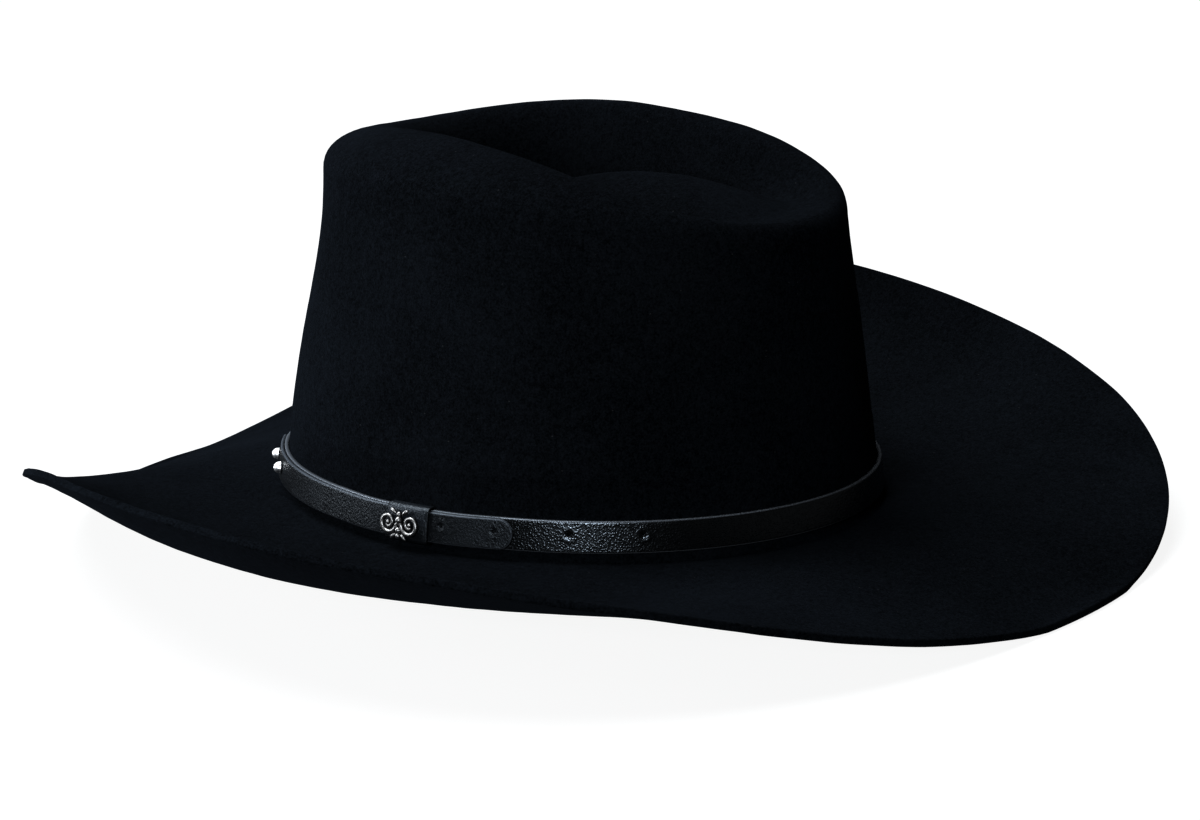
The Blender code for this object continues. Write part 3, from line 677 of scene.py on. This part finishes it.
def strap_leather(look):
    """Under layer of the hatband: a full ring with soft edges and two punched holes."""
    phi = angles(1000)
    half = STRAP_TALL / 2
    across = half * np.sin(np.linspace(-math.pi / 2, math.pi / 2, 25))
    covered = (phi > BILLET_START) & (phi < TONGUE_END - half / arc_length(TONGUE_END))
    radius = np.where(covered, LEATHER_ROUND / 5, LEATHER_ROUND)
    rows, insets = [], []
    for rise in across:
        inset = half - abs(rise)
        out = STRAP_THICK - rounding(inset, radius) + pucker(phi, rise, PUNCHED_STRAP)
        rows.append(band_point(phi, STRAP_MIDDLE + rise, out))
        insets.append(np.full(len(phi), inset))
    for rise in (half, -half):
        rows.append(band_point(phi, STRAP_MIDDLE + rise, 0.0))
        insets.append(np.zeros(len(phi)))
    part = lattice(rows, wrap_rows=True)
    made = piece("strap_leather", part, look, "hatband", ["hatband_strap"], {"inset": np.ravel(insets)})
    for number, place in enumerate(PUNCHED_STRAP):
        matrix = band_frame(place, STRAP_MIDDLE + PUNCH_RISE, STRAP_THICK / 2)
        cut(made, f"strap_hole_{number}", matrix, PUNCH_RADIUS * 0.8, 0.004)
    return made


def billet_leather(look):
    """Over layer of the hatband, straight cut beside the studs, with a round tongue."""
    half = BILLET_TALL / 2
    base = STRAP_THICK + TOUCH
    tip_angle = TONGUE_END - half / arc_length(TONGUE_END)
    fine = LEATHER_ROUND / 3 / arc_length(BILLET_START)
    start = BILLET_START + fine * np.arange(5)
    straight = np.concatenate([start, np.linspace(BILLET_START + fine * 7, tip_angle, 260)])
    turn = np.linspace(0, math.pi / 2, 26)[1:]
    phis = np.concatenate([straight, tip_angle + (TONGUE_END - tip_angle) * np.sin(turn) * 0.999])
    halves = np.concatenate([np.full(len(straight), half), half * np.maximum(np.cos(turn), 0.03)])
    rows, insets = [], []
    for share in np.sin(np.linspace(-math.pi / 2, math.pi / 2, 33)):
        rise = halves * share
        round_tip = half - np.hypot(np.maximum(phis - tip_angle, 0) * arc_length(TONGUE_END), rise)
        inset = np.clip(np.minimum(round_tip, (phis - BILLET_START) * arc_length(BILLET_START)), 0, 1)
        out = base + BILLET_THICK - rounding(inset) + pucker(phis, rise, PUNCHED_TONGUE)
        rows.append(band_point(phis, STRAP_MIDDLE + rise, out))
        insets.append(inset)
    for side in (1, -1):
        rows.append(band_point(phis, STRAP_MIDDLE + side * halves, base))
        insets.append(np.zeros(len(phis)))
    stations = np.transpose(np.array(rows), (1, 0, 2))
    facts = {"inset": np.ravel(np.transpose(insets))}
    part = lattice(stations, close_first=True, close_last=True)
    made = piece("billet_leather", part, look, "hatband", ["hatband_billet"], facts)
    for number, place in enumerate(PUNCHED_TONGUE):
        matrix = band_frame(place, STRAP_MIDDLE + PUNCH_RISE, base + BILLET_THICK / 2)
        cut(made, f"billet_hole_{number}", matrix, PUNCH_RADIUS, 0.003)
    return made


def rounded(low_out, high_out, low_rise, high_rise, radius, steps):
    """Corners of a rounded rectangle, as pairs of out and rise."""
    outline = []
    corners = ((high_out, high_rise), (low_out, high_rise), (low_out, low_rise), (high_out, low_rise))
    for number, (out, rise) in enumerate(corners):
        inner_out = out - radius if out == high_out else out + radius
        inner_rise = rise - radius if rise == high_rise else rise + radius
        for k in range(steps):
            angle = (number + k / (steps - 1)) * math.pi / 2
            outline.append((inner_out + radius * math.cos(angle), inner_rise + radius * math.sin(angle)))
    outline += [(high_out, rise) for rise in np.linspace(low_rise + radius, high_rise - radius, 14)[1:-1]]
    return np.array(outline)


def keeper_leather(look):
    """Loop of leather round the strap, with soft edges and a slightly full face, painted lighter towards
    the top of the face as a highlight.
    """
    low, high = STRAP_MIDDLE - STRAP_TALL / 2 - TOUCH, STRAP_MIDDLE + STRAP_TALL / 2 + TOUCH
    deep = STRAP_THICK + BILLET_THICK + 2 * TOUCH
    thick = KEEPER_THICK
    inner = rounded(-TOUCH, deep, low, high, KEEPER_ROUND_IN, 8)
    outer = rounded(-TOUCH - thick, deep + thick, low - thick, high + thick, KEEPER_ROUND_OUT, 8)
    half = KEEPER_WIDE / 2
    soft = KEEPER_SOFT
    rows, pale = [], []

    def add(share, along, full):
        """Adds one ring of the loop, share = 0 on its inside and 1 on its face."""
        ring = inner + (outer - inner) * share
        middle = (low + high) / 2
        fullness = KEEPER_FULL * full * np.cos((ring[:, 1] - middle) / (high - low) * 2.6)
        out = ring[:, 0] + np.where(ring[:, 0] > deep / 2, fullness, 0)
        phi = np.full(len(ring), KEEPER_ANGLE + along / arc_length(KEEPER_ANGLE))
        rows.append(band_point(phi, ring[:, 1], out))
        # Painted highlight: pale rises towards the top of the face and fades out near the keeper's ends.
        end = np.clip((half - abs(along)) / 0.0012, 0, 1)
        pale.append(end * np.clip((ring[:, 1] - middle) / 0.003 + 0.5, 0.1, 1))

    for turn in np.linspace(0, math.pi, 9)[:-1]:
        add((1 + math.cos(turn)) / 2, half - soft + soft * math.sin(turn), 0)
    for along in np.linspace(half - soft, soft - half, 9)[:-1]:
        add(0.0, along, 0)
    for turn in np.linspace(math.pi, 0, 9)[:-1]:
        add((1 + math.cos(turn)) / 2, soft - half - soft * math.sin(turn), 0)
    for along in np.linspace(soft - half, half - soft, 28)[:-1]:
        add(1.0, along, 1 - (along / half) ** 4)
    part = lattice(rows, wrap_rows=True)
    facts = {"inset": np.ones(np.size(pale)), "pale": np.ravel(pale)}
    return piece("keeper_leather", part, look, "keeper", ["keeper_loop"], facts)


def scroll_path():
    """Two mirrored volutes joined by a small arch, as seen from outside."""
    first, turns = math.radians(200), 1.30
    t = np.linspace(0, 1, 90)
    radius = 0.00334 - 0.00230 * t**0.85
    angle = first + turns * 2 * math.pi * t
    right = np.stack([VOLUTE_X + radius * np.cos(angle), VOLUTE_Y + radius * np.sin(angle)], -1)
    over = np.linspace(0, math.pi, 20)[1:-1]
    start = right[0]
    arch = np.stack([start[0] * np.cos(over), start[1] + 0.00127 * np.sin(over)], -1)
    left = right * np.array([-1, 1])
    return np.concatenate([left[::-1], arch[::-1], right])


def keeper_scroll(look):
    """Cast scroll with beads and small leaves, on the keeper's face."""
    path = scroll_path()
    place = np.linspace(-1, 1, len(path))
    parts = [tube(path, WIRE_RADIUS * (1.05 - 0.35 * place**2), 16)]
    for y, radius in ((0.00138, 0.00122), (0.00313, 0.00089), (-0.00173, 0.00106), (-0.00345, 0.00093)):
        parts.append(ball(0.0, y, radius))
    for side in (-1, 1):
        parts.append(ball(side * VOLUTE_X, VOLUTE_Y, 0.00072))
        for x, y, long, turn in ((0.0022, 0.0039, 0.0015, 35), (0.0020, -0.0036, 0.0015, -40)):
            t = np.linspace(-1, 1, 15)
            direction = np.array([side * math.cos(math.radians(turn)), math.sin(math.radians(turn))])
            leaf = np.array([side * x, y]) + t[:, None] * long * direction
            parts.append(tube(leaf, 0.00060 * (1 - t**2) ** 0.7 + 0.00004, 10))
    face = STRAP_THICK + BILLET_THICK + 2 * TOUCH + KEEPER_THICK
    phi = KEEPER_ANGLE + ORNAMENT_SHIFT / arc_length(KEEPER_ANGLE)
    part = joined(parts)
    # depth: how far each point stands out, in wire radii; the silver look paints the low points darker as
    # shade in the hollows.
    depth = np.array([p[2] for p in part[0]]) / WIRE_RADIUS
    part = moved(part, band_frame(phi, STRAP_MIDDLE, face + ORNAMENT_STAND))
    return piece("keeper_scroll", part, look, "keeper", ["keeper_ornament"], {"depth": depth})


def stud_dome(look, name, phi):
    """Polished domed rivet with a small rim, seated on the billet."""
    profile = [(STUD_POST, STUD_FOOT), (STUD_POST, TOUCH)]
    profile += [(STUD_RADIUS * 0.97, TOUCH), (STUD_RADIUS, TOUCH + 0.0001)]
    profile += [(STUD_RADIUS, TOUCH + 0.00025), (STUD_RADIUS * 0.97, TOUCH + STUD_RIM)]
    for angle in np.linspace(0.12, math.pi / 2 - 0.08, 14):
        height = TOUCH + STUD_RIM + (STUD_HIGH - STUD_RIM) * math.sin(angle)
        profile.append((STUD_RADIUS * 0.95 * math.cos(angle), height))
    turn = angles(40)
    rows = [np.stack([r * np.cos(turn), r * np.sin(turn), np.full(40, h)], -1) for r, h in profile]
    matrix = band_frame(phi, STRAP_MIDDLE, STRAP_THICK + TOUCH + BILLET_THICK)
    part = moved(lattice(rows, close_first=True, close_last=True), matrix)
    return piece(f"{name}_dome", part, look, "hatband", [name])


# Inside of the hat


def sweatband_leather(look):
    """Leather band round the head opening."""
    phi = angles(360)
    half, middle = SWEAT_TALL / 2, SWEAT_TALL / 2 - SWEAT_DROP
    across = half * np.sin(np.linspace(-math.pi / 2, math.pi / 2, 37))
    rows = []
    for rise in across:
        inset = FELT + SWEAT_GAP + SWEAT_THICK - rounding(half - abs(rise))
        rows.append(wall_at(phi, middle + rise, inset))
    for rise in (half, 0.0, -half):
        rows.append(wall_at(phi, middle + rise, FELT + SWEAT_GAP))
    part = lattice(rows, wrap_rows=True)
    return piece("sweatband_skin", part, look, "hat", ["sweatband"])


def sweatband_welt(look):
    """Reed along the sweatband's lower edge."""
    phi = angles(360)
    inset = FELT + SWEAT_GAP - TOUCH - REED_RADIUS
    rows = []
    for angle in angles(12):
        ring = wall_at(phi, REED_RISE + REED_RADIUS * math.sin(angle), inset)
        ring[:, 0] -= REED_RADIUS * math.cos(angle) * np.sin(phi)
        ring[:, 1] += REED_RADIUS * math.cos(angle) * np.cos(phi)
        rows.append(ring)
    return piece("sweatband_welt", lattice(rows, wrap_rows=True), look, "hat", ["sweatband_reed"])


def wall_frame(phi, rise, inset):
    """Matrix to a place on the inside of the crown, with x along the wall, y up and z inwards."""
    step = 1e-4
    here, ahead = (Vector(wall_at(np.array([phi + k]), rise, inset)[0]) for k in (0, step))
    above = Vector(wall_at(np.array([phi]), rise + step, inset)[0])
    along = (here - ahead).normalized()
    inwards = along.cross(above - here).normalized()
    turn = Matrix((along, inwards.cross(along), inwards)).transposed().to_4x4()
    return Matrix.Translation(here) @ turn


def sweatband_stitches(look):
    """Slanted stitches that hold the sweatband to its welt."""
    t = np.linspace(-1, 1, 7)
    line = np.stack([t * STITCH_LONG / 2, t * STITCH_LONG * 0.12], -1)
    stitch = tube(line, STITCH_THICK * (1 - t**4 * 0.8), 6)
    inset = FELT + SWEAT_GAP + SWEAT_THICK + STITCH_THICK * 0.4
    parts = []
    for phi in angles(STITCH_COUNT):
        matrix = wall_frame(phi, STITCH_RISE - SWEAT_DROP, inset)
        parts.append(moved(stitch, matrix))
    return piece("sweatband_stitches", joined(parts), look, "hat")


def seam_ribbon(look):
    """Narrow grosgrain ribbon over the sweatband's back seam."""
    half = TAPE_WIDE / 2 / arc_length(math.pi)
    phis = np.linspace(math.pi - half, math.pi + half, 22)
    inset = FELT + SWEAT_GAP + SWEAT_THICK + TOUCH
    rises = np.linspace(0.0010 - SWEAT_DROP, SWEAT_TALL - SWEAT_DROP - 0.0010, 60)
    rows, along = [], []
    for depth, order in ((inset, phis), (inset + TAPE_THICK, phis[::-1])):
        for phi in order:
            rows.append([wall_at(np.array([phi]), rise, depth)[0] for rise in rises])
            along += list(rises)
    points, faces = lattice(rows, wrap_rows=True, wrap_columns=False)
    count, last = len(rises), len(rows)
    for column in (0, count - 1):
        for k in range(len(phis) - 1):
            quad = (k, k + 1, last - 2 - k, last - 1 - k)
            faces.append(tuple(row * count + column for row in quad))
    facts = {"along": np.array(along)}
    return piece("seam_ribbon", (points, faces), look, "hat", ["sweatband_seam_tape"], facts)


def ribbon_strip(path, wide, turn=0.0):
    """Ribbon along a path of x and z, wide in y, turned about z. Returns its part and its lengths."""
    path = np.array(path)
    along = unit(np.gradient(path, axis=0))
    normal = np.stack([-along[:, 1], along[:, 0]], -1)
    lengths = np.concatenate([[0], np.cumsum(np.linalg.norm(np.diff(path, axis=0), axis=1))])
    shares = (-1, -0.5, 0, 0.5, 1)
    across = [(share, -1) for share in shares] + [(share, 1) for share in shares[::-1]]
    rows, far = [], []
    for place, side, length in zip(path, normal, lengths):
        spread = wide(length / lengths[-1]) / 2
        row = []
        for share, face in across:
            x, z = place + side * face * RIBBON_THICK / 2
            row.append((x, share * spread, z))
        rows.append(row)
        far += [length] * len(across)
    part = moved(lattice(rows, close_first=True, close_last=True), Matrix.Rotation(turn, 4, "Z"))
    return part, far + [0.0, lengths[-1]]


def back_bow(look):
    """Flat bow of ribbon: two loops, two tails and a knot."""
    inset = FELT + SWEAT_GAP + SWEAT_THICK + TAPE_THICK + 2 * TOUCH
    place = wall_frame(math.pi, BOW_RISE, inset)
    parts, lengths = [], []

    def add(strip):
        parts.append(strip[0])
        lengths.extend(strip[1])

    turn = np.linspace(0, 2 * math.pi, 41)
    for side in (-1, 1):
        loop = np.stack([side * 0.0056 * (1 - np.cos(turn)), 0.0011 + 0.0008 * np.sin(turn)], -1)
        lean = side * math.radians(5)
        add(ribbon_strip(loop, lambda s: 0.0028 + 0.0026 * math.sin(math.pi * s) ** 0.8, lean))
        fall = np.linspace(0, 1, 24)
        tail = np.stack([side * 0.0098 * fall, 0.0004 + 0.0003 * np.sin(fall * 5)], -1)
        add(ribbon_strip(tail, lambda s: 0.0026 + 0.0010 * s, -side * math.radians(52)))
    knot = np.stack([0.0017 * np.sin(turn), 0.0012 - 0.0012 * np.cos(turn)], -1)
    add(ribbon_strip(knot, lambda s: 0.0040))
    part = moved(joined(parts), place)
    return piece("back_bow", part, look, "hat", ["sweatband_bow"], {"along": np.array(lengths)})


def lining_side_cloth(look):
    """Satin band inside the crown, gathered a little towards the tip."""
    phi = angles(720)
    top = TIP_HEIGHT + BAND_HEIGHT - 0.0012
    rises = np.linspace(LINING_LOW, top, 26)
    waves = 0.5 + 0.5 * np.sin(60 * phi + 2.0 * np.sin(7 * phi) + 1.3 * np.sin(3 * phi))
    fine = 0.5 + 0.5 * np.sin(131 * phi + 1.7 * np.sin(11 * phi))
    rows = []
    for depth, order in ((0.0, rises), (LINING_THICK, rises[::-1])):
        for rise in order:
            gather = smooth((rise - LINING_LOW) / (top - LINING_LOW)) * 0.0007 + 0.0001
            inset = FELT + LINING_GAP + depth + gather * (0.7 * waves + 0.3 * fine)
            rows.append(wall_at(phi, rise, inset))
    part = lattice(rows, wrap_rows=True)
    made = piece("lining_side_cloth", part, look, "hat", ["lining_side"])
    return made


def lining_tip_cloth(look):
    """Oval of satin across the top of the lining, drawn in by its edge seam."""
    phi = angles(360)
    edge = wall_at(phi, TIP_HEIGHT + BAND_HEIGHT, FELT + LINING_GAP + 0.0006)
    middle = np.array([CROWN_X, CROWN_Y + SHOULDER_SHIFT, BAND_TOP + TIP_HEIGHT - 0.0030])
    rows = []
    scales = np.linspace(0.04, 1, 30)
    for low, order in ((0.0, scales), (LINING_THICK, scales[::-1])):
        for scale in order:
            row = middle + (edge - middle) * np.array([scale, scale, scale**2])
            draw = 0.0005 * smooth(np.clip((scale - 0.6) / 0.4, 0, 1))
            row[:, 2] += draw * np.sin(54 * phi + 1.5 * np.sin(5 * phi)) - low
            rows.append(row)
    part = lattice(rows, close_first=True, close_last=True)
    made = piece("lining_tip_cloth", part, look, "hat", ["lining_tip"])
    return made


def lining_piping(look):
    """Corded seam between the lining's band and its tip."""
    phi = angles(360)
    seam, inset = TIP_HEIGHT + BAND_HEIGHT - 0.0012, FELT + LINING_GAP + 0.0016
    rows = []
    for angle in angles(10):
        ring = wall_at(phi, seam + PIPING_RADIUS * math.sin(angle), inset)
        ring[:, 0] -= PIPING_RADIUS * math.cos(angle) * np.sin(phi)
        ring[:, 1] += PIPING_RADIUS * math.cos(angle) * np.cos(phi)
        rows.append(ring)
    return piece("lining_piping", lattice(rows, wrap_rows=True), look, "hat")


# Stage, light and camera


def seen_glow(tree, glow):
    """Strength that is one value as a light and another to look at."""
    path = tree.nodes.new("ShaderNodeLightPath")
    strength = tree.nodes.new("ShaderNodeMapRange")
    strength.inputs["To Min"].default_value, strength.inputs["To Max"].default_value = glow
    tree.links.new(path.outputs["Is Camera Ray"], strength.inputs["Value"])
    return strength.outputs["Result"]


def floor():
    """Plain floor just under the brim's lowest points. It looks pale and lights the hat only a little."""
    place = (0, 0, -0.0002)
    bpy.ops.mesh.primitive_circle_add(vertices=96, radius=FLOOR_RADIUS, fill_type="NGON", location=place)
    made = bpy.context.object
    made.name = "floor"
    white = bpy.data.materials.new("floor_white")
    white.use_nodes = True
    tree = white.node_tree
    shader = tree.nodes["Principled BSDF"]
    shader.inputs["Base Color"].default_value = (FLOOR_GREY, FLOOR_GREY, FLOOR_GREY, 1.0)
    shader.inputs["Emission Color"].default_value = (1.0, 1.0, 1.0, 1.0)
    shader.inputs["Roughness"].default_value = 0.9
    shader.inputs["Specular IOR Level"].default_value = 0.0
    tree.links.new(seen_glow(tree, FLOOR_GLOW), shader.inputs["Emission Strength"])
    made.data.materials.append(white)


def direction(turn, rise):
    """Unit vector towards a place seen from the hat, turn counted as phi."""
    turn, rise = math.radians(turn), math.radians(rise)
    return Vector((math.sin(turn) * math.cos(rise), -math.cos(turn) * math.cos(rise), math.sin(rise)))


def lamp(data, place, turn, rise):
    """Light at a place, shining from a direction towards the hat."""
    made = bpy.data.objects.new(data.name, data)
    made.location = place
    made.rotation_euler = direction(turn, rise).to_track_quat("Z", "Y").to_euler()
    bpy.context.scene.collection.objects.link(made)
    return made


def key_light():
    """Wide soft sun from high over the front of the hat."""
    data = bpy.data.lights.new("key", "SUN")
    data.energy, data.angle, data.color = KEY_STRENGTH, math.radians(KEY_SPREAD), KEY_COLOR
    lamp(data, (0, 0, 0), KEY_TURN, KEY_RISE)


def card(name, turn, rise, distance, size, power, color):
    """Flat soft light that faces the hat and isn't seen itself."""
    data = bpy.data.lights.new(name, "AREA")
    data.shape, data.size, data.size_y = "RECTANGLE", *size
    data.energy, data.color = power, color
    made = lamp(data, Vector(CARD_AIM) + direction(turn, rise) * distance, turn, rise)
    made.visible_camera = False


def surroundings():
    """Pale studio: white to look at, and dim as a light."""
    world = bpy.data.worlds.new("studio")
    world.use_nodes = True
    tree = world.node_tree
    shader = tree.nodes["Background"]
    shader.inputs["Color"].default_value = (1.0, 1.0, 1.0, 1.0)
    tree.links.new(seen_glow(tree, WORLD_GLOW), shader.inputs["Strength"])
    bpy.context.scene.world = world


def camera():
    """Camera with the roll and shift of the framing."""
    turn, rise, roll = VIEW_TURN, VIEW_RISE, VIEW_ROLL
    towards = Vector((math.cos(turn) * math.cos(rise), math.sin(turn) * math.cos(rise), math.sin(rise)))
    right = Vector((-math.sin(turn), math.cos(turn), 0))
    up = towards.cross(right)
    side = right * math.cos(roll) - up * math.sin(roll)
    top = right * math.sin(roll) + up * math.cos(roll)
    data = bpy.data.cameras.new("camera")
    data.lens, data.sensor_width, data.sensor_fit = VIEW_LENS, 36.0, "HORIZONTAL"
    data.shift_x, data.shift_y = VIEW_SHIFT
    data.clip_start = 0.05
    made = bpy.data.objects.new("camera", data)
    target = Vector((CROWN_X, CROWN_Y, BAND_TOP))
    facing = Matrix((side, top, towards)).transposed().to_4x4()
    made.matrix_world = Matrix.Translation(target + towards * VIEW_DISTANCE) @ facing
    bpy.context.scene.collection.objects.link(made)
    bpy.context.scene.camera = made


def main():
    felt, grained, plain = felt_look(), grained_leather_look(), smooth_leather_look()
    silver, nickel, sweat = silver_look(), nickel_look(), sweat_leather_look()
    satin, ribbon, reed = satin_look(), ribbon_look(), reed_look()

    felt_shell(felt)
    strap_leather(grained)
    billet_leather(plain)
    for name, phi in STUD_ANGLES.items():
        stud_dome(nickel, name, phi)
    keeper_leather(plain)
    keeper_scroll(silver)
    sweatband_leather(sweat)
    sweatband_welt(reed)
    sweatband_stitches(reed)
    seam_ribbon(ribbon)
    back_bow(ribbon)
    lining_side_cloth(satin)
    lining_tip_cloth(satin)
    lining_piping(satin)

    floor()
    surroundings()
    key_light()
    for settings in CARDS:
        card(*settings)
    camera()
    bpy.context.scene.view_settings.view_transform = "Standard"
    bpy.context.scene.view_settings.gamma = VIEW_GAMMA


main()
